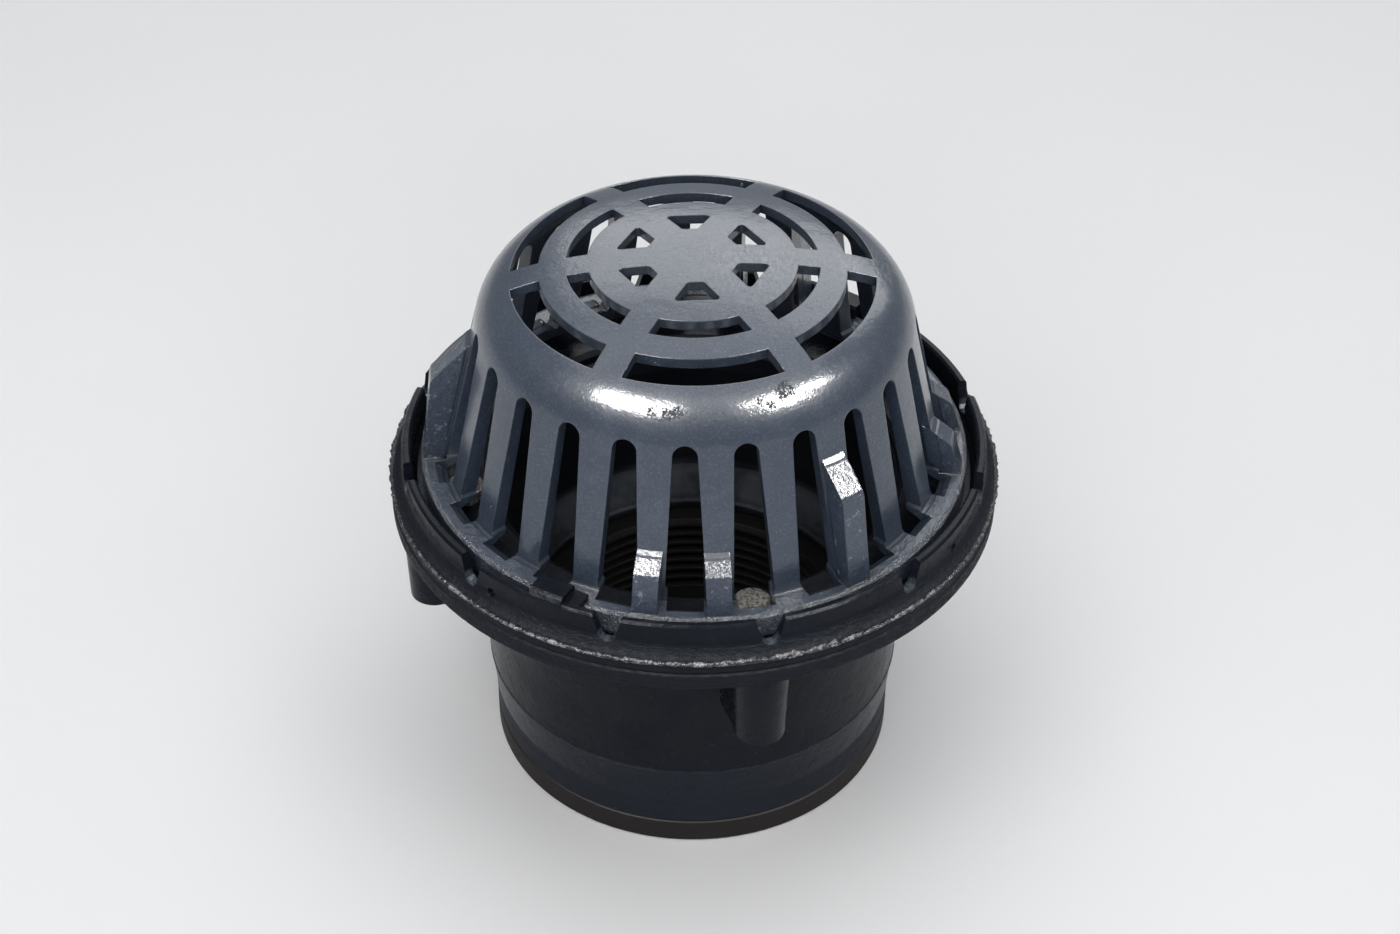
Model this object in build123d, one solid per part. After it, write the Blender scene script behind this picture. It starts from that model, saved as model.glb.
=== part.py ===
from build123d import *
from math import sin, cos, radians
import os

os.makedirs("parts", exist_ok=True)

# Dome roof drain. Millimetres, +Z up, z = 0 under the outlet hub, front is -Y.
# Angles are taken from the front and grow towards +X.

# --- deck flange, sump and outlet hub ---
FLANGE_R = 106.4
FLANGE_Z0 = 106.6
FLANGE_Z1 = 113.6
HUB_R = 73.2
NECK_R = 75.0
HUB_Z0 = 9.6            # the iron stops here, the rubber lip goes on below
SEAM_Z = 36.5
SUMP_R = 68.0
SUMP_FLOOR_Z = 57.0
LEDGE_R = 60.0
LEDGE_Z = 44.4
GASKET_SEAT_R = 66.0
MOUTH_R = 70.0

# --- bosses and bolts ---
BOLT_ANGLES = {"front": 14.0, "right": 104.0, "back": 194.0, "left": 285.0}
BOLT_CIRCLE_R = 81.5
BOSS_R_POS = 94.6
BOSS_R_TOP = 9.6
BOSS_R_LOW = 8.6
BOSS_Z0 = 74.5
BOSS_WEB_W = 17.0
BOLT_R = 4.0
BOLT_HOLE_DEPTH = 30.0
BOLT_HEAD_R = 6.9
BOLT_HEAD_H = 4.6
BOLT_LEN = 26.0

# --- clamp ring ---
CLAMP_R = 106.2
CLAMP_R_IN = 72.0
CLAMP_TOP = 117.4
CLAMP_RIM = 118.0
COVE_W = 3.4            # the wall flares into the rim in a hollow curve
COVE_H = 7.0
WALL_R_IN = 98.7
WALL_R_OUT = 102.0
WALL_TOP = 130.5
NOTCHES = 12
NOTCH_FIRST = -15.5
NOTCH_W_TOP = 9.4
NOTCH_W_LOW = 3.6
NOTCH_Z0 = 120.6
TAB_ANGLES = (-28.0, 144.0)
TAB_W = 12.0
TAB_R_IN = 91.8
TAB_TOP = 132.4
SCREW_HOLES = (-40.0, 58.5, 103.0)
SCREW_HOLE_R = 1.6
SCREW_HOLE_Z = 123.0

# --- dome ---
CROWN = [(0.0, 204.0), (25.2, 202.9), (42.3, 200.6), (51.4, 198.8), (61.1, 195.7)]
CROWN_END_ANGLE = -22.0
SHOULDER_R = 21.9
SIDE_TOP = (74.0, 181.5)
SIDE_LOW = (86.6, 127.0)
TOP_T = 3.4
SIDE_T = 4.4
RIB_T = 5.6
RING_R_OUT = 95.2
RING_R_IN = 88.7
RING_LIP_R = 90.8
RING_Z0 = 117.5
RING_Z1 = 127.0
RIBS = 24
RIB_FIRST = 5.5
SLOT_W_TOP = 8.2
SLOT_W_LOW = 13.7
SLOT_LEAN = 0.95
RING_SLOTS = [  # inner radius, outer radius, spoke width
    (51.4, 61.1, 10.4),
    (35.0, 42.3, 10.2),
    (15.6, 25.2, 11.0),
]
SPOKE_FIRST = 34.0
SLOT_CORNER = 1.9
PATTERN_SHIFT = -1.0
SHORT_LUGS = (-9.5, 5.5, 80.5, 95.5, 170.5, 185.5)
TALL_LUGS = (35.5, 155.5, 275.5)

# --- outlet gasket ---
GASKET_R = 65.8
GASKET_LIP_R = 73.3
GASKET_TOP = 44.0
GASKET_BORE_R = 52.0
GASKET_LAND_Z = (1.0, 11.0)
GASKET_RIBS = 7


def turned(points):
    return revolve(make_face(Polyline(*[(r, 0, z) for r, z in points], close=True)), Axis.Z)


def at(angle, shape):
    # shapes are drawn pointing to the front (-Y) and turned into place
    return Rot(0, 0, angle) * shape


def upright(points, y0, y1):
    # outline in x and z, pulled from radius y0 out to radius y1 on the front side
    face = make_face(Polyline(*[(x, -y0, z) for x, z in points], close=True))
    return extrude(face, amount=y1 - y0, dir=(0, -1, 0))


def side_on(points, width):
    # outline in radius and z, given a width across
    face = make_face(Polyline(*[(-width / 2, -r, z) for r, z in points], close=True))
    return extrude(face, amount=width, dir=(1, 0, 0))


# --- drain body ---
body = turned([
    (GASKET_SEAT_R, HUB_Z0), (HUB_R - 0.6, HUB_Z0), (HUB_R, HUB_Z0 + 0.6),
    (HUB_R + 0.2, 20.0), (HUB_R + 1.0, 29.0), (NECK_R, SEAM_Z - 0.5), (NECK_R + 0.2, SEAM_Z - 0.2),
    (NECK_R + 0.2, SEAM_Z + 0.3), (NECK_R, SEAM_Z + 0.6), (NECK_R, 60.0),
    (NECK_R + 0.6, FLANGE_Z0 - 2.5), (NECK_R + 2.6, FLANGE_Z0),
    (FLANGE_R - 1.0, FLANGE_Z0), (FLANGE_R, FLANGE_Z0 + 1.0),
    (FLANGE_R, FLANGE_Z1 - 0.8), (FLANGE_R - 0.8, FLANGE_Z1),
    (MOUTH_R + 1.2, FLANGE_Z1), (MOUTH_R, FLANGE_Z1 - 1.2),
    (SUMP_R, FLANGE_Z1 - 8.0), (SUMP_R, SUMP_FLOOR_Z + 3.0), (SUMP_R - 2.0, SUMP_FLOOR_Z),
    (LEDGE_R + 1.0, LEDGE_Z + 4.0), (LEDGE_R, LEDGE_Z + 3.0), (LEDGE_R, LEDGE_Z),
    (GASKET_SEAT_R, LEDGE_Z),
])
boss = Pos(0, -BOSS_R_POS, BOSS_Z0) * Cone(BOSS_R_LOW, BOSS_R_TOP, FLANGE_Z0 + 1.0 - BOSS_Z0,
                                           align=(Align.CENTER, Align.CENTER, Align.MIN))
boss = chamfer(boss.edges().sort_by(Axis.Z)[0], 1.6)
web = side_on([(HUB_R - 2.0, BOSS_Z0 - 4.0), (BOSS_R_POS - 6.0, BOSS_Z0 + 0.6), (BOSS_R_POS, BOSS_Z0 + 1.8),
               (BOSS_R_POS, FLANGE_Z0 + 1.0), (HUB_R - 2.0, FLANGE_Z0 + 1.0)], BOSS_WEB_W)
for angle in BOLT_ANGLES.values():
    body += at(angle, boss)
    body += at(angle, web)
bolt_hole = Pos(0, -BOLT_CIRCLE_R, FLANGE_Z1 - BOLT_HOLE_DEPTH) * Cylinder(
    BOLT_R + 0.05, BOLT_HOLE_DEPTH + 1.0, align=(Align.CENTER, Align.CENTER, Align.MIN))
for angle in BOLT_ANGLES.values():
    body -= at(angle, bolt_hole)

# --- clamp ring ---
cove = [(WALL_R_OUT + COVE_W * (1 - sin(radians(a))), CLAMP_RIM + 0.3 + COVE_H * (1 - cos(radians(a))))
        for a in range(0, 91, 10)]
clamp = turned([
    (CLAMP_R_IN, FLANGE_Z1), (CLAMP_R - 0.8, FLANGE_Z1), (CLAMP_R, FLANGE_Z1 + 0.8),
    (CLAMP_R, CLAMP_RIM - 0.9), (CLAMP_R - 0.7, CLAMP_RIM), *cove,
    (WALL_R_OUT - 0.1, WALL_TOP - 0.9), (WALL_R_OUT - 0.9, WALL_TOP), (WALL_R_IN + 0.8, WALL_TOP),
    (WALL_R_IN, WALL_TOP - 0.8), (WALL_R_IN, CLAMP_TOP + 2.0), (WALL_R_IN - 1.6, CLAMP_TOP),
    (CLAMP_R_IN + 2.0, CLAMP_TOP), (CLAMP_R_IN, CLAMP_TOP - 1.4),
])
notch = upright([
    (-NOTCH_W_TOP / 2 - 0.2, WALL_TOP + 2.5), (-NOTCH_W_TOP / 2, WALL_TOP - 1.0),
    (-NOTCH_W_LOW / 2 - 0.5, NOTCH_Z0 + 1.2), (-NOTCH_W_LOW / 2 + 0.7, NOTCH_Z0),
    (NOTCH_W_LOW / 2 - 0.7, NOTCH_Z0), (NOTCH_W_LOW / 2 + 0.5, NOTCH_Z0 + 1.2),
    (NOTCH_W_TOP / 2, WALL_TOP - 1.0), (NOTCH_W_TOP / 2 + 0.2, WALL_TOP + 2.5),
], WALL_R_IN - 2.5, WALL_R_OUT + 2.5)
tab = side_on([
    (TAB_R_IN, RING_Z1 + 0.4), (WALL_R_IN + 1.0, RING_Z1 + 0.4), (WALL_R_IN + 1.0, RING_Z1 - 1.0),
    (WALL_R_OUT - 0.4, RING_Z1 - 1.0), (WALL_R_OUT - 0.4, WALL_TOP), (WALL_R_OUT - 1.6, TAB_TOP - 0.6),
    (WALL_R_OUT - 2.6, TAB_TOP), (TAB_R_IN + 1.0, TAB_TOP), (TAB_R_IN, TAB_TOP - 1.0),
], TAB_W)
tab_step = Pos(TAB_W / 2 + 2.0, 0, 0) * side_on([
    (TAB_R_IN, RING_Z1 + 0.4), (WALL_R_IN + 1.0, RING_Z1 + 0.4), (WALL_R_IN + 1.0, WALL_TOP - 0.6),
    (TAB_R_IN, WALL_TOP - 0.6),
], 6.0)
for k in range(NOTCHES):
    clamp -= at(NOTCH_FIRST + 360.0 / NOTCHES * k, notch)
for angle in TAB_ANGLES:
    clamp += at(angle, tab)
    clamp += at(angle, tab_step)
for angle in BOLT_ANGLES.values():
    clamp -= at(angle, Pos(0, -BOLT_CIRCLE_R, FLANGE_Z1 - 1.0) * Cylinder(
        BOLT_R + 0.5, 6.0, align=(Align.CENTER, Align.CENTER, Align.MIN)))
for angle in SCREW_HOLES:
    clamp -= at(angle, Pos(0, -(WALL_R_IN + WALL_R_OUT) / 2, SCREW_HOLE_Z) * Rot(90, 0, 0) * Cylinder(SCREW_HOLE_R, 8.0))

# --- dome strainer ---
n0 = radians(90.0 + CROWN_END_ANGLE)
n1 = radians(14.6)
cx = CROWN[-1][0] - SHOULDER_R * cos(n0)
cz = CROWN[-1][1] - SHOULDER_R * sin(n0)
mid = (n0 + n1) / 2


def on_shoulder(radius, a):
    return (cx + radius * cos(a), 0, cz + radius * sin(a))


out_low = (SIDE_LOW[0], 0, SIDE_LOW[1])
in_top = on_shoulder(SHOULDER_R - SIDE_T, n1)
in_low = (SIDE_LOW[0] - RIB_T, 0, SIDE_LOW[1] - 1.0)
e1 = Spline(*[(r, 0, z) for r, z in CROWN],
            tangents=[(1, 0, 0), (cos(radians(CROWN_END_ANGLE)), 0, sin(radians(CROWN_END_ANGLE)))])
e2 = ThreePointArc(on_shoulder(SHOULDER_R, n0), on_shoulder(SHOULDER_R, mid), on_shoulder(SHOULDER_R, n1))
e3 = Polyline(on_shoulder(SHOULDER_R, n1), out_low, (RING_R_OUT - 0.8, 0, RING_Z1), (RING_R_OUT, 0, RING_Z1 - 0.8),
              (RING_R_OUT, 0, RING_Z0 + 0.6), (RING_R_OUT - 0.6, 0, RING_Z0), (RING_R_IN, 0, RING_Z0),
              (RING_R_IN, 0, RING_Z0 + 5.2), in_low, in_top)
e4 = ThreePointArc(in_top, on_shoulder(SHOULDER_R - (TOP_T + SIDE_T) / 2, mid), on_shoulder(SHOULDER_R - TOP_T, n0))
crown_in = [(r - 0.3 * r / 61.1 * TOP_T, 0, z - TOP_T) for r, z in CROWN]
crown_in[-1] = on_shoulder(SHOULDER_R - TOP_T, n0)
e5 = Spline(*reversed(crown_in),
            tangents=[(-cos(radians(CROWN_END_ANGLE)), 0, -sin(radians(CROWN_END_ANGLE))), (-1, 0, 0)])
e6 = Line(crown_in[0], (0, 0, CROWN[0][1]))
dome = revolve(make_face(Wire([*e1.edges(), *e2.edges(), *e3.edges(), *e4.edges(), *e5.edges(), *e6.edges()])), Axis.Z)

# side slots: round top, straight flared sides, floor that falls away inwards
half_top = SLOT_W_TOP / 2
slot_face = make_face(Wire([
    *ThreePointArc((-half_top, -60, SIDE_TOP[1] - half_top), (0, -60, SIDE_TOP[1]),
                   (half_top, -60, SIDE_TOP[1] - half_top)).edges(),
    *Polyline((half_top, -60, SIDE_TOP[1] - half_top), (SLOT_LEAN + SLOT_W_LOW / 2, -60, RING_Z1 + 1.6),
              (SLOT_LEAN + SLOT_W_LOW / 2 - 1.2, -60, RING_Z1), (SLOT_LEAN - SLOT_W_LOW / 2 + 1.2, -60, RING_Z1),
              (SLOT_LEAN - SLOT_W_LOW / 2, -60, RING_Z1 + 1.6), (-half_top, -60, SIDE_TOP[1] - half_top)).edges(),
]))
side_slot = extrude(slot_face, amount=45.0, dir=(0, -1, 0))
side_slot += Pos(SLOT_LEAN, 0, 0) * side_on([(76.0, RING_Z1 + 2.0), (76.0, RING_Z1 - 12.0), (RING_LIP_R, RING_Z1),
                                             (RING_LIP_R, RING_Z1 + 2.0)], SLOT_W_LOW - 1.6)
slot_first = RIB_FIRST + 180.0 / RIBS
cuts = [at(slot_first + 360.0 / RIBS * k, side_slot) for k in range(RIBS)]

# top slots: six in each of three rings, parted by straight spokes
for r_in, r_out, spoke in RING_SLOTS:
    gap = Circle(r_out) - Circle(r_in)
    for k in range(3):
        gap -= Rot(0, 0, SPOKE_FIRST + 60.0 * k) * Rectangle(spoke, 3 * r_out)
    if r_in < 20:
        gap = None
        a0 = radians(30.0)
        for k in range(6):
            r_low, r_high = r_in, r_out * 0.985
            w_low = r_low * 0.577 - spoke / 2 / cos(a0)
            w_high = r_high * 0.577 - spoke / 2 / cos(a0)
            w_low = max(w_low, 2.6)
            piece = Rot(0, 0, SPOKE_FIRST + 30.0 + 60.0 * k) * make_face(Polyline(
                (-w_low, -r_low, 0), (w_low, -r_low, 0), (w_high, -r_high, 0), (-w_high, -r_high, 0), close=True))
            cuts.append(Pos(PATTERN_SHIFT, 0, 185.0) * extrude(fillet(piece.vertices(), 1.1), amount=25.0, dir=(0, 0, 1)))
    else:
        for face in gap.faces():
            rounded = fillet(face.vertices(), SLOT_CORNER)
            cuts.append(Pos(PATTERN_SHIFT, 0, 180.0) * extrude(rounded, amount=30.0, dir=(0, 0, 1)))
dome -= cuts

short_lug = side_on([
    (79.0, 146.2), (81.8, 145.2), (89.2, 139.8), (90.0, 138.4), (93.6, RING_Z1), (93.6, RING_Z1 - 1.0), (88.9, RING_Z1 - 1.0),
    (82.0, RING_Z1 + 5.0)], 8.4)
low_tall_lug = side_on([
    (74.0, 170.4), (76.6, 169.4), (87.4, 160.6), (88.4, 159.0), (94.2, RING_Z1), (94.2, RING_Z1 - 1.0), (88.9, RING_Z1 - 1.0),
    (82.0, RING_Z1 + 5.0)], 8.6)
tall_lug = side_on([
    (74.0, 175.0), (77.0, 173.6), (89.8, 160.2), (90.4, 158.8), (94.3, RING_Z1), (94.3, RING_Z1 - 1.0), (88.9, RING_Z1 - 1.0),
    (82.0, RING_Z1 + 5.0)], 9.4)
lugs = [at(a, short_lug) for a in SHORT_LUGS] + [at(a, tall_lug) for a in TALL_LUGS[1:]] + [at(TALL_LUGS[0], low_tall_lug)]
dome += lugs

# --- outlet gasket ---
z0, z1 = GASKET_LAND_Z
pitch = (GASKET_TOP - 2.0 - z1) / GASKET_RIBS
bore = [(GASKET_BORE_R + 0.6, 0.0), (GASKET_BORE_R, z0), (GASKET_BORE_R, z1)]
for k in range(GASKET_RIBS):
    base = z1 + pitch * k
    bore += [(GASKET_BORE_R + 4.0, base + 0.5), (GASKET_BORE_R + 4.0, base + pitch * 0.45),
             (GASKET_BORE_R + 0.6, base + pitch * 0.72), (GASKET_BORE_R + 0.6, base + pitch)]
gasket = turned(bore + [(GASKET_BORE_R + 1.6, GASKET_TOP), (GASKET_R - 0.8, GASKET_TOP), (GASKET_R, GASKET_TOP - 0.8),
                        (GASKET_R, HUB_Z0 - 0.1), (GASKET_LIP_R - 0.5, HUB_Z0 - 0.1), (GASKET_LIP_R, HUB_Z0 - 0.6),
                        (GASKET_LIP_R, 0.6), (GASKET_LIP_R - 0.6, 0.0)])

# --- clamp bolts: round-cornered hexagon head, shank ending in the boss ---
head = extrude(RegularPolygon(BOLT_HEAD_R + 0.3, 6), amount=BOLT_HEAD_H)
head &= turned([(0, 0), (BOLT_HEAD_R, 0), (BOLT_HEAD_R, BOLT_HEAD_H - 1.2), (BOLT_HEAD_R - 0.4, BOLT_HEAD_H - 0.7),
                (BOLT_HEAD_R - 1.1, BOLT_HEAD_H), (0, BOLT_HEAD_H)])
bolt = Pos(0, 0, CLAMP_TOP) * head + Pos(0, 0, CLAMP_TOP - BOLT_LEN) * Cylinder(
    BOLT_R, BOLT_LEN + 0.5, align=(Align.CENTER, Align.CENTER, Align.MIN))

export_step(body, "parts/drain_body.step")
export_step(gasket, "parts/outlet_gasket.step")
export_step(clamp, "parts/flashing_clamp.step")
export_step(dome, "parts/dome_strainer.step")
for name, angle in BOLT_ANGLES.items():
    export_step(at(angle, Pos(0, -BOLT_CIRCLE_R, 0) * bolt), "parts/clamp_bolt_" + name + ".step")
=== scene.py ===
import math

import bmesh
import bpy
from mathutils import Matrix, Vector, noise


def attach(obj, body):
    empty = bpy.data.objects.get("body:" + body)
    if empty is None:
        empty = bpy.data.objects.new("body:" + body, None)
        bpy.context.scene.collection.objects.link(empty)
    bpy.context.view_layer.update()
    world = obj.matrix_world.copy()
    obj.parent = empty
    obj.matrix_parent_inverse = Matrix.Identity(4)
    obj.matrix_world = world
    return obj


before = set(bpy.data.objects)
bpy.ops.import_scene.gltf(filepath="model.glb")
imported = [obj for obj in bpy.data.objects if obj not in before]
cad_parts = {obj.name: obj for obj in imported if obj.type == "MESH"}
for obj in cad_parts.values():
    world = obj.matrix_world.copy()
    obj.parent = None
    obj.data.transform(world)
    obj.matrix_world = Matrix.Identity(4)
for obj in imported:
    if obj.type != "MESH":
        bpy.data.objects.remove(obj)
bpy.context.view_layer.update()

scene = bpy.context.scene


# ------------------------------------------------------------ small helpers

def polar(r, deg, z):
    """A point r from the axis, deg round from the front (-Y) towards +X."""
    a = math.radians(deg)
    return Vector((r * math.sin(a), -r * math.cos(a), z))


class Mat:
    """A node tree being built up around one Principled shader."""

    def __init__(self, name):
        self.mat = bpy.data.materials.new(name)
        self.mat.use_nodes = True
        self.t = self.mat.node_tree
        self.t.nodes.clear()
        self.out = self.n("ShaderNodeOutputMaterial")
        self.p = self.n("ShaderNodeBsdfPrincipled")
        self.link(self.p.outputs[0], self.out.inputs[0])
        self.coord = self.n("ShaderNodeTexCoord")

    def n(self, kind, **props):
        node = self.t.nodes.new(kind)
        for k, v in props.items():
            setattr(node, k, v)
        return node

    def link(self, a, b):
        self.t.links.new(a, b)

    def put(self, name, value):
        self.p.inputs[name].default_value = value

    def pos(self, scale=(1, 1, 1)):
        m = self.n("ShaderNodeMapping")
        m.inputs["Scale"].default_value = scale
        self.link(self.coord.outputs["Object"], m.inputs["Vector"])
        return m.outputs[0]

    def noise(self, scale, detail=3.0, rough=0.55, stretch=(1, 1, 1)):
        node = self.n("ShaderNodeTexNoise")
        node.inputs["Scale"].default_value = scale
        node.inputs["Detail"].default_value = detail
        node.inputs["Roughness"].default_value = rough
        self.link(self.pos(stretch), node.inputs["Vector"])
        return node.outputs["Fac"]

    def cells(self, scale, feature="F1"):
        node = self.n("ShaderNodeTexVoronoi", feature=feature)
        node.inputs["Scale"].default_value = scale
        self.link(self.coord.outputs["Object"], node.inputs["Vector"])
        return node.outputs["Distance"]

    def ramp(self, fac, stops):
        """stops: (position, value or colour)."""
        node = self.n("ShaderNodeValToRGB")
        cr = node.color_ramp
        while len(cr.elements) < len(stops):
            cr.elements.new(0.5)
        for e, (at, c) in zip(cr.elements, stops):
            e.position = at
            e.color = c if hasattr(c, "__len__") else (c, c, c, 1)
        self.link(fac, node.inputs[0])
        return node.outputs[0]

    def math(self, op, a, b=0.0, clamp=False):
        node = self.n("ShaderNodeMath", operation=op, use_clamp=clamp)
        for i, v in enumerate((a, b)):
            if isinstance(v, (int, float)):
                node.inputs[i].default_value = v
            else:
                self.link(v, node.inputs[i])
        return node.outputs[0]

    def mix(self, fac, a, b, kind="MIX"):
        node = self.n("ShaderNodeMix", data_type="RGBA", blend_type=kind)
        for i, v in ((0, fac), (6, a), (7, b)):
            if isinstance(v, (int, float)):
                node.inputs[i].default_value = v
            elif isinstance(v, tuple):
                node.inputs[i].default_value = v
            else:
                self.link(v, node.inputs[i])
        return node.outputs[2]

    def height(self):
        """Height above the ground, in metres."""
        g = self.n("ShaderNodeSeparateXYZ")
        self.link(self.coord.outputs["Object"], g.inputs[0])
        return g.outputs[2]

    def radius(self):
        """Distance from the drain's axis, in metres."""
        g = self.n("ShaderNodeSeparateXYZ")
        self.link(self.coord.outputs["Object"], g.inputs[0])
        x, y = g.outputs[0], g.outputs[1]
        return self.math("SQRT", self.math("ADD", self.math("MULTIPLY", x, x), self.math("MULTIPLY", y, y)))

    def upward(self):
        """How far a surface faces up: 1 level, 0 upright."""
        g = self.n("ShaderNodeSeparateXYZ")
        self.link(self.n("ShaderNodeNewGeometry").outputs["Normal"], g.inputs[0])
        return g.outputs[2]

    def between(self, value, low, high, soft):
        """1 where value lies between low and high, fading over soft on both sides."""
        up = self.math("DIVIDE", self.math("SUBTRACT", value, low - soft), 2 * soft, True)
        down = self.math("DIVIDE", self.math("SUBTRACT", high + soft, value), 2 * soft, True)
        return self.math("MULTIPLY", up, down)

    def painted_crevice_shade(self, reach, dark):
        """Painted shade: 1 in the open, falling to dark in corners and slots, by ambient occlusion."""
        node = self.n("ShaderNodeAmbientOcclusion", samples=6, only_local=True)
        node.inputs["Distance"].default_value = reach
        return self.ramp(node.outputs["AO"], [(0.25, dark), (0.95, 1.0)])

    def near(self, point, reach, soft):
        """1 within reach of a point, fading out over soft."""
        node = self.n("ShaderNodeVectorMath", operation="DISTANCE")
        self.link(self.coord.outputs["Object"], node.inputs[0])
        node.inputs[1].default_value = point
        return self.math("DIVIDE", self.math("SUBTRACT", reach + soft, node.outputs["Value"]), soft, True)

    def rounded(self, radius, samples=4):
        node = self.n("ShaderNodeBevel", samples=samples)
        node.inputs["Radius"].default_value = radius
        return node.outputs[0]

    def bumps(self, start, *layers):
        """Stacks bump layers (height, strength, metres) on a start normal."""
        last = start
        for h, strength, dist in layers:
            b = self.n("ShaderNodeBump")
            b.inputs["Strength"].default_value = strength
            b.inputs["Distance"].default_value = dist
            self.link(h, b.inputs["Height"])
            if last is not None:
                self.link(last, b.inputs["Normal"])
            last = b.outputs[0]
        self.link(last, self.p.inputs["Normal"])
        self.link(last, self.p.inputs["Coat Normal"])


# ---------------------------------------------------------------- materials

def dome_paint():
    m = Mat("dome_slate_paint")
    big = m.noise(28, 3)
    mid = m.noise(160, 4, 0.6)
    fine = m.noise(640, 4, 0.68)
    grit = m.noise(1500, 2, 0.7)
    z, r = m.height(), m.radius()
    # lugs and foot ring stand proud of the ribs' outer face and were fettled roughly
    side = m.math("ADD", m.math("MULTIPLY", m.math("SUBTRACT", 0.1815, z), 0.2312), 0.0752)
    proud = m.math("MULTIPLY", m.math("SUBTRACT", r, side), 1600, True)
    rag = m.noise(330, 4, 0.65)
    # the shoulder's casting pits come in two small patches
    rotten = m.noise(1300, 3, 0.75)
    patches = None
    for point, reach in (((-0.0128, -0.0674, 0.1906), 0.0010), ((-0.0081, -0.0684, 0.1903), 0.0013),
                         ((-0.0055, -0.0683, 0.1908), 0.0012), ((0.0285, -0.0592, 0.1925), 0.0024),
                         ((0.0205, -0.0637, 0.1915), 0.0007), ((0.0240, -0.0635, 0.1905), 0.0009)):
        spot = m.near(point, reach, 0.0020)
        patches = spot if patches is None else m.math("MAXIMUM", patches, spot)
    level = m.math("ADD", rotten, m.math("MULTIPLY", patches, 0.19))
    pits = m.ramp(level, [(0.665, 1.0), (0.685, 0.0)])
    base = m.mix(m.ramp(big, [(0.35, 0), (0.68, 1)]), (0.031, 0.045, 0.071, 1), (0.039, 0.055, 0.084, 1))
    base = m.mix(m.ramp(mid, [(0.50, 0), (0.78, 0.35)]), base, (0.070, 0.092, 0.126, 1))
    sand = m.noise(1150, 3, 0.7)
    base = m.mix(m.ramp(sand, [(0.52, 0), (0.72, 0.5)]), base, (0.115, 0.135, 0.172, 1))
    base = m.mix(m.ramp(sand, [(0.30, 0.6), (0.47, 0)]), base, (0.036, 0.047, 0.068, 1))
    # painted sheen: a lighter, greyer patch on upward faces right of the crown's middle and along its right side, worn
    # skin painted with the light it reflects
    worn_sheen = m.math("MAXIMUM", m.near((0.020, -0.004, 0.2035), 0.006, 0.020), m.near((0.058, 0.004, 0.1965), 0.004, 0.018))
    worn_sheen = m.math("MULTIPLY", worn_sheen, m.ramp(m.noise(900, 4, 0.75, (1, 0.3, 1)), [(0.46, 0), (0.62, 0.6)]))
    worn_sheen = m.math("MULTIPLY", worn_sheen, m.math("GREATER_THAN", m.upward(), 0.8))
    base = m.mix(worn_sheen, base, (0.170, 0.184, 0.205, 1))
    base = m.mix(m.ramp(pits, [(0.0, 0.7), (0.6, 0)]), base, (0.030, 0.034, 0.042, 1))
    worn = m.math("MULTIPLY", proud, m.ramp(rag, [(0.60, 0), (0.68, 0.5)]))
    base = m.mix(worn, base, (0.30, 0.32, 0.35, 1))
    # painted shade: the dome's colour is darkened in its slots and corners
    shade = m.painted_crevice_shade(0.012, 0.20)
    base = m.mix(1.0, base, shade, "MULTIPLY")
    m.link(base, m.p.inputs["Base Color"])
    rough = m.math("ADD", m.math("MULTIPLY", mid, 0.14), m.math("MULTIPLY", fine, 0.07))
    rough = m.math("ADD", rough, 0.26)
    rough = m.math("ADD", rough, m.math("MULTIPLY", m.math("SUBTRACT", 1.0, pits), 0.5))
    m.link(rough, m.p.inputs["Roughness"])
    m.put("Specular IOR Level", 0.24)
    # no gloss down in the pits
    m.link(m.math("MULTIPLY", pits, 0.75), m.p.inputs["Coat Weight"])
    m.put("Coat Roughness", 0.055)
    proud_rag = m.math("MULTIPLY", proud, rag)
    foot = m.math("MULTIPLY", m.math("LESS_THAN", z, 0.1275), m.math("GREATER_THAN", r, 0.0936))
    m.bumps(m.rounded(0.00055),
            (big, 0.4, 0.0010), (mid, 0.25, 0.0005), (fine, 0.26, 0.00018),
            (grit, 0.22, 0.0001), (pits, 1.0, 0.0009), (proud_rag, 0.5, 0.0010),
            (m.math("MULTIPLY", foot, grit), 1.0, 0.0009))
    return m.mat


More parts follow.
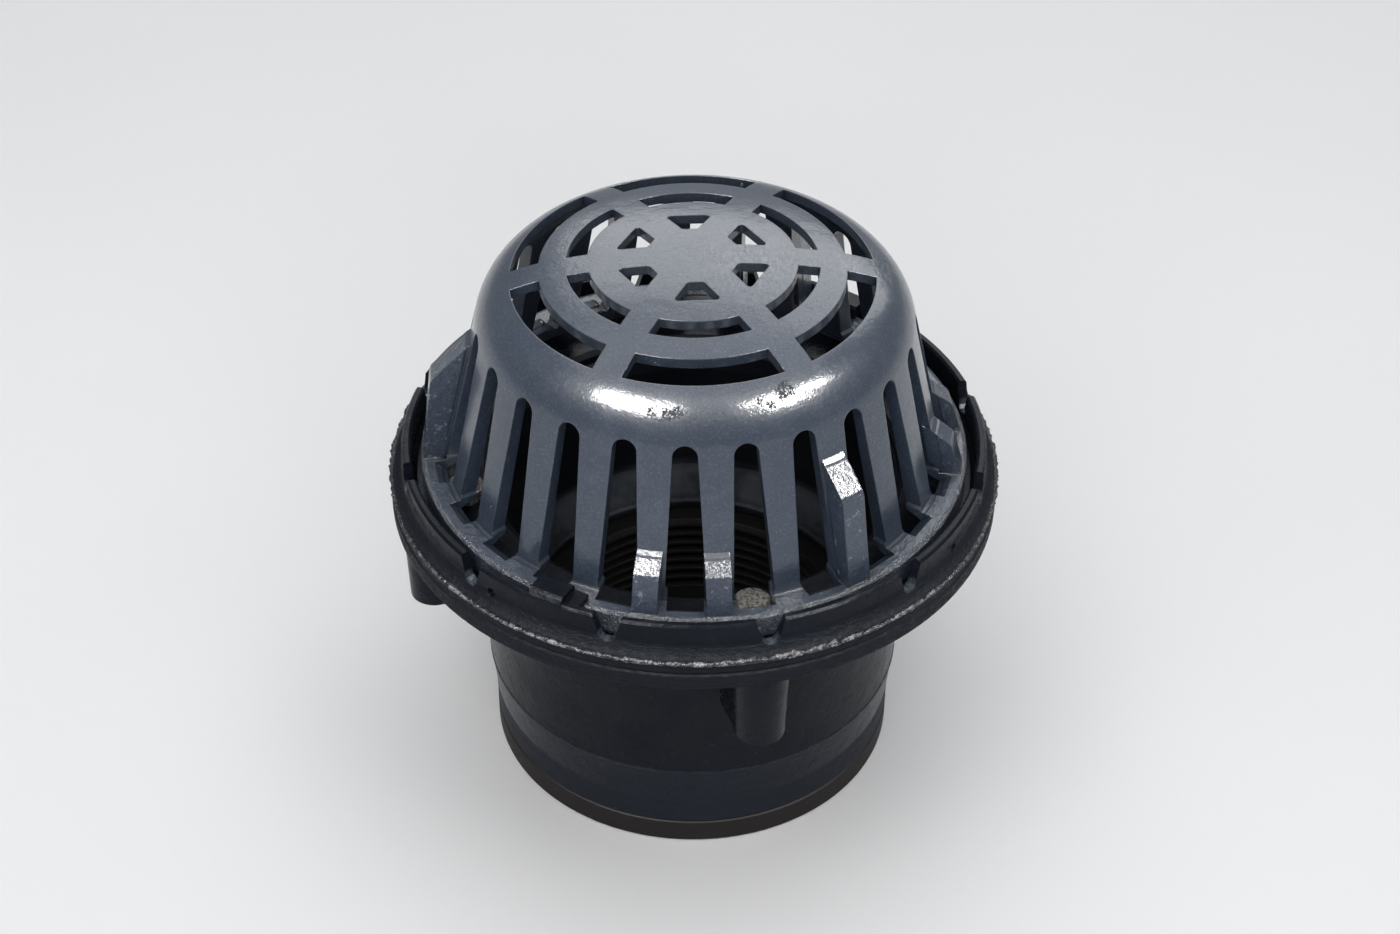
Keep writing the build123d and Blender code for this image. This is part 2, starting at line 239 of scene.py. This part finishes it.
def body_paint(name="body_blue_black_paint"):
    m = Mat(name)
    big = m.noise(45, 4, 0.55)
    mid = m.noise(230, 4, 0.6)
    fine = m.noise(850, 3, 0.65)
    z, r = m.height(), m.radius()
    base = m.mix(m.ramp(big, [(0.35, 0), (0.7, 1)]), (0.0046, 0.0058, 0.0098, 1), (0.0076, 0.0094, 0.0150, 1))
    # warm, thinner paint above the mould seam, a bluer coat below it
    low = m.between(m.math("ADD", z, m.math("MULTIPLY", m.math("SUBTRACT", mid, 0.5), 0.004)), -0.01, 0.0365, 0.0012)
    base = m.mix(m.math("MULTIPLY", low, 0.55), base, (0.0140, 0.0175, 0.0255, 1))
    hub = m.between(z, 0.040, 0.106, 0.004)
    base = m.mix(m.math("MULTIPLY", hub, m.ramp(big, [(0.40, 0), (0.62, 0.6)])), base, (0.0105, 0.0100, 0.0120, 1))
    base = m.mix(m.ramp(mid, [(0.62, 0), (0.78, 0.4)]), base, (0.018, 0.020, 0.026, 1))
    dust = m.ramp(m.noise(1500, 2), [(0.72, 0), (0.82, 0.12)])
    base = m.mix(dust, base, (0.07, 0.068, 0.068, 1))
    # the dome's slate paint ran down into the wall's notches; the runs are painted paler than that paint, as painted
    # light in the shaded notches
    runs_painted_light = None
    for k in range(12):
        spot = m.near(tuple(polar(0.1008, -15.5 + 30 * k, 0.1228)), 0.0010, 0.0026)
        runs_painted_light = spot if runs_painted_light is None else m.math("MAXIMUM", runs_painted_light, spot)
    runs_painted_light = m.math("MULTIPLY", runs_painted_light, m.ramp(m.noise(700, 3, 0.7), [(0.34, 0.15), (0.58, 1.0)]))
    runs_painted_light = m.math("MULTIPLY", runs_painted_light, m.math("LESS_THAN", r, 0.1023))
    base = m.mix(runs_painted_light, base, (0.17, 0.20, 0.245, 1))
    # painted highlight: a thin paler line along the mould seam
    seam_painted_highlight = m.between(z, 0.0361, 0.0371, 0.0002)
    base = m.mix(m.math("MULTIPLY", seam_painted_highlight, m.ramp(mid, [(0.36, 0.1), (0.60, 0.9)])), base, (0.026, 0.029, 0.036, 1))
    # painted reflection: a paler band round the sump's wall
    painted_reflection_band = m.math("MULTIPLY", m.between(z, 0.0475, 0.0605, 0.003), m.math("LESS_THAN", r, 0.0689))
    painted_reflection_band = m.math("MULTIPLY", painted_reflection_band, m.ramp(big, [(0.36, 0.15), (0.56, 0.85)]))
    base = m.mix(painted_reflection_band, base, (0.085, 0.095, 0.112, 1))
    m.link(base, m.p.inputs["Base Color"])
    # the rim between wall and flange is dull and scabby
    rim = m.math("MULTIPLY", m.between(z, 0.1075, 0.1225, 0.0015), m.math("GREATER_THAN", r, 0.1012))
    scab = m.noise(420, 4, 0.7, (1, 1, 2.2))
    rough = m.math("ADD", m.math("MULTIPLY", mid, 0.22), 0.14)
    rough = m.math("ADD", rough, m.math("MULTIPLY", rim, m.ramp(scab, [(0.40, 0.50), (0.66, 0.12)])))
    rough = m.math("ADD", rough, m.math("MULTIPLY", m.math("LESS_THAN", r, 0.0735), 0.28))
    m.link(rough, m.p.inputs["Roughness"])
    m.put("Specular IOR Level", 0.10)
    m.put("Specular Tint", (0.84, 0.91, 1.0, 1))
    m.bumps(m.rounded(0.0004),
            (big, 0.5, 0.0012), (mid, 0.45, 0.0004), (fine, 0.5, 0.0002),
            (m.math("MULTIPLY", rim, scab), 0.7, 0.0010))
    return m.mat


def gasket_rubber():
    m = Mat("gasket_brown_black_rubber")
    big = m.noise(45, 3)
    fine = m.noise(700, 3, 0.6)
    base = m.mix(m.ramp(big, [(0.35, 0), (0.7, 1)]), (0.0048, 0.0046, 0.0050, 1), (0.0085, 0.0080, 0.0084, 1))
    lip = m.between(m.radius(), 0.0668, 0.09, 0.0006)
    base = m.mix(lip, base, (0.0150, 0.0118, 0.0122, 1))
    base = m.mix(m.ramp(fine, [(0.64, 0), (0.78, 0.25)]), base, (0.07, 0.062, 0.06, 1))
    m.link(base, m.p.inputs["Base Color"])
    m.link(m.math("ADD", m.math("MULTIPLY", fine, 0.25), 0.42), m.p.inputs["Roughness"])
    m.put("Specular IOR Level", 0.13)
    m.bumps(m.rounded(0.0004), (big, 0.4, 0.0008), (fine, 0.35, 0.00016))
    return m.mat


def bolt_zinc():
    m = Mat("bolt_speckled_zinc")
    mid = m.noise(900, 4, 0.7)
    fine = m.noise(2400, 3, 0.7)
    spots = m.cells(1500)
    base = m.mix(m.ramp(mid, [(0.40, 0), (0.60, 1)]), (0.032, 0.031, 0.029, 1), (0.270, 0.262, 0.240, 1))
    base = m.mix(m.ramp(spots, [(0.0, 0.9), (0.26, 0)]), base, (0.015, 0.015, 0.014, 1))
    base = m.mix(m.ramp(fine, [(0.60, 0), (0.70, 0.8)]), base, (0.45, 0.43, 0.38, 1))
    # painted glint: a near-white spot on the lower right edge of the front bolt's head
    painted_glint = m.near((0.0226, -0.0852, 0.1217), 0.0009, 0.0009)
    base = m.mix(painted_glint, base, (0.92, 0.92, 0.92, 1))
    m.link(base, m.p.inputs["Base Color"])
    m.put("Metallic", 0.4)
    m.link(m.math("ADD", m.math("MULTIPLY", mid, 0.4), 0.28), m.p.inputs["Roughness"])
    m.bumps(m.rounded(0.0003), (mid, 0.7, 0.0003), (fine, 0.5, 0.00012))
    return m.mat


def bright_metal():
    m = Mat("bare_flash_metal")
    a = m.noise(500, 4, 0.7)
    b = m.noise(130, 3, 0.6)
    base = m.mix(m.ramp(a, [(0.47, 0), (0.60, 1)]), (0.012, 0.013, 0.019, 1), (0.34, 0.33, 0.36, 1))
    base = m.mix(m.ramp(b, [(0.42, 1), (0.56, 0)]), base, (0.010, 0.012, 0.017, 1))
    # pale bare-metal flecks at the front only, fading to dark paint round the sides and back: a painted highlight where
    # the front of the rim catches light
    g = m.n("ShaderNodeSeparateXYZ")
    m.link(m.coord.outputs["Object"], g.inputs[0])
    highlight_fade_back = m.math("DIVIDE", m.math("ADD", g.outputs[1], 0.092), 0.035, True)
    base = m.mix(m.math("MULTIPLY", highlight_fade_back, 0.82), base, (0.010, 0.012, 0.017, 1))
    m.link(base, m.p.inputs["Base Color"])
    m.link(m.math("ADD", m.math("MULTIPLY", a, 0.4), 0.06), m.p.inputs["Roughness"])
    m.put("Specular IOR Level", 0.35)
    m.bumps(None, (a, 1.0, 0.0009))
    return m.mat


def floor_paper():
    m = Mat("studio_paper")
    fibre = m.noise(900, 2)
    cloud = m.noise(3, 2)
    base = m.mix(m.ramp(cloud, [(0.35, 0), (0.65, 1)]), (0.762, 0.768, 0.776, 1), (0.780, 0.786, 0.794, 1))
    base = m.mix(m.ramp(fibre, [(0.3, 0.0), (0.7, 0.03)]), base, (0.66, 0.66, 0.67, 1))
    m.link(base, m.p.inputs["Base Color"])
    m.put("Roughness", 0.9)
    m.put("Specular IOR Level", 0.1)
    m.bumps(None, (fibre, 0.05, 0.0001))
    return m.mat


DOME = dome_paint()
BODY = body_paint()
RUBBER = gasket_rubber()
ZINC = bolt_zinc()
FLASH = bright_metal()

for name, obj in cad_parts.items():
    use = {"dome_strainer": DOME, "outlet_gasket": RUBBER,
           "drain_body": BODY, "flashing_clamp": BODY}.get(name, ZINC)
    obj.data.materials.clear()
    obj.data.materials.append(use)


def mesh_piece(name, bm, material, smooth=True):
    me = bpy.data.meshes.new(name)
    bm.to_mesh(me)
    bm.free()
    for p in me.polygons:
        p.use_smooth = smooth
    ob = bpy.data.objects.new(name, me)
    scene.collection.objects.link(ob)
    me.materials.append(material)
    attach(ob, "root")
    return ob


# --------------------------------------------- casting flash on the clamp rim

def rim_flash():
    """A thin, ragged lip of casting flash left along the clamp ring's upper outer edge."""
    bm = bmesh.new()
    steps, rows = 720, []
    for i in range(steps):
        deg = 360 * i / steps
        a = math.radians(deg)
        rough = noise.fractal(Vector((math.sin(a) * 14, math.cos(a) * 14, 3.1)), 0.6, 2.2, 5)
        fine = noise.fractal(Vector((math.sin(a) * 60, math.cos(a) * 60, 8.7)), 0.6, 2.2, 4)
        front = math.exp(-(((deg + 180) % 360 - 180 - 12) / 38) ** 2)
        tall = 0.0004 + 0.0006 * max(0, rough + 0.2) + 0.0013 * front * max(0, rough + 0.35)
        out = 0.0004 + 0.0004 * rough + 0.0006 * fine
        tall += 0.00045 * fine
        r0, z0 = 0.1062, 0.1180
        sect = [(r0 - 0.0016, z0 - 0.0003), (r0 - 0.0010, z0 + 0.35 * tall), (r0 - 0.0003 + 0.3 * out, z0 + max(0.0001, tall)),
                (r0 + 0.0002 + out, z0 + 0.45 * tall), (r0 + 0.00025 + 0.6 * out, z0 - 0.0004), (r0 - 0.0004, z0 - 0.0011)]
        rows.append([bm.verts.new(polar(r, deg, z)) for r, z in sect])
    for i in range(steps):
        j = (i + 1) % steps
        for k in range(6):
            l = (k + 1) % 6
            bm.faces.new((rows[i][k], rows[j][k], rows[j][l], rows[i][l]))
    bmesh.ops.recalc_face_normals(bm, faces=bm.faces)
    mesh_piece("clamp_rim_flash", bm, FLASH)


rim_flash()


# ------------------------------------------------------------------- studio

def floor():
    bpy.ops.mesh.primitive_plane_add(size=8, location=(0, 0, 0))
    ob = bpy.context.object
    ob.name = "studio_floor"
    ob.data.materials.append(floor_paper())


def area(name, at, look, size, power, colour=(1, 1, 1), size_y=None):
    li = bpy.data.lights.new(name, "AREA")
    li.shape = "RECTANGLE" if size_y else "SQUARE"
    li.size = size
    if size_y:
        li.size_y = size_y
    li.energy = power
    li.color = colour
    ob = bpy.data.objects.new(name, li)
    scene.collection.objects.link(ob)
    d = Vector(look) - Vector(at)
    ob.location = at
    ob.rotation_euler = d.to_track_quat("-Z", "Y").to_euler()
    return ob


def on_ring(az, el, dist, centre=(0, -0.05, 0.17)):
    """A place dist from centre, az degrees round from the front towards +X and el above level."""
    a, e = math.radians(az), math.radians(el)
    return Vector(centre) + dist * Vector((math.sin(a) * math.cos(e), -math.cos(a) * math.cos(e), math.sin(e)))


def softbox(name, az, el, dist, width, height, power, gloss, colour=(1, 1, 1)):
    """A soft light for everything, and a brighter core in it that only polished paint mirrors."""
    at = on_ring(az, el, dist)
    area(name, at, (0, -0.05, 0.17), width, power, colour, height)
    core = area(name + "_core", on_ring(az, el, dist - 0.04), (0, -0.05, 0.17), width * 0.8, gloss, colour, height * 0.8)
    core.visible_diffuse = False
    core.visible_transmission = False


floor()
area("soft_overhead", (0, 0.2, 1.9), (0, 0.05, 0), 2.2, 22, (1, 1, 1))
fill = area("soft_front_low", (0, -1.5, 0.9), (0, -0.2, 0), 1.6, 10, (1, 1, 1), 0.5)
fill.visible_glossy = False
softbox("softbox_back", 166, 35, 2.0, 2.4, 1.2, 4, 14)
softbox("softbox_left", -40, 51.5, 1.5, 0.94, 0.72, 4.5, 74, (1, 0.97, 0.94))
softbox("softbox_right", 55, 48, 1.5, 0.66, 0.70, 2.0, 54, (1, 0.97, 0.94))
softbox("card_right", 81, 46, 1.5, 0.22, 0.30, 0.2, 12)

world = bpy.data.worlds.new("studio_world")
scene.world = world
world.use_nodes = True
world.node_tree.nodes["Background"].inputs[0].default_value = (0.95, 0.97, 1.0, 1)
world.node_tree.nodes["Background"].inputs[1].default_value = 0.30

cam_data = bpy.data.cameras.new("photo_camera")
cam_data.sensor_fit = "HORIZONTAL"
cam_data.sensor_width = 36
cam_data.lens = 64.29
cam_data.clip_start = 0.01
cam_data.clip_end = 50
cam = bpy.data.objects.new("photo_camera", cam_data)
scene.collection.objects.link(cam)
turn = Matrix.Rotation(math.radians(50.932), 4, "X") @ Matrix.Rotation(math.radians(0.626), 4, "Z")
cam.matrix_world = Matrix.Translation((0.00212, -0.68606, 0.67025)) @ turn
scene.camera = cam

scene.view_settings.view_transform = "Standard"
scene.view_settings.look = "None"

bpy.context.view_layer.update()
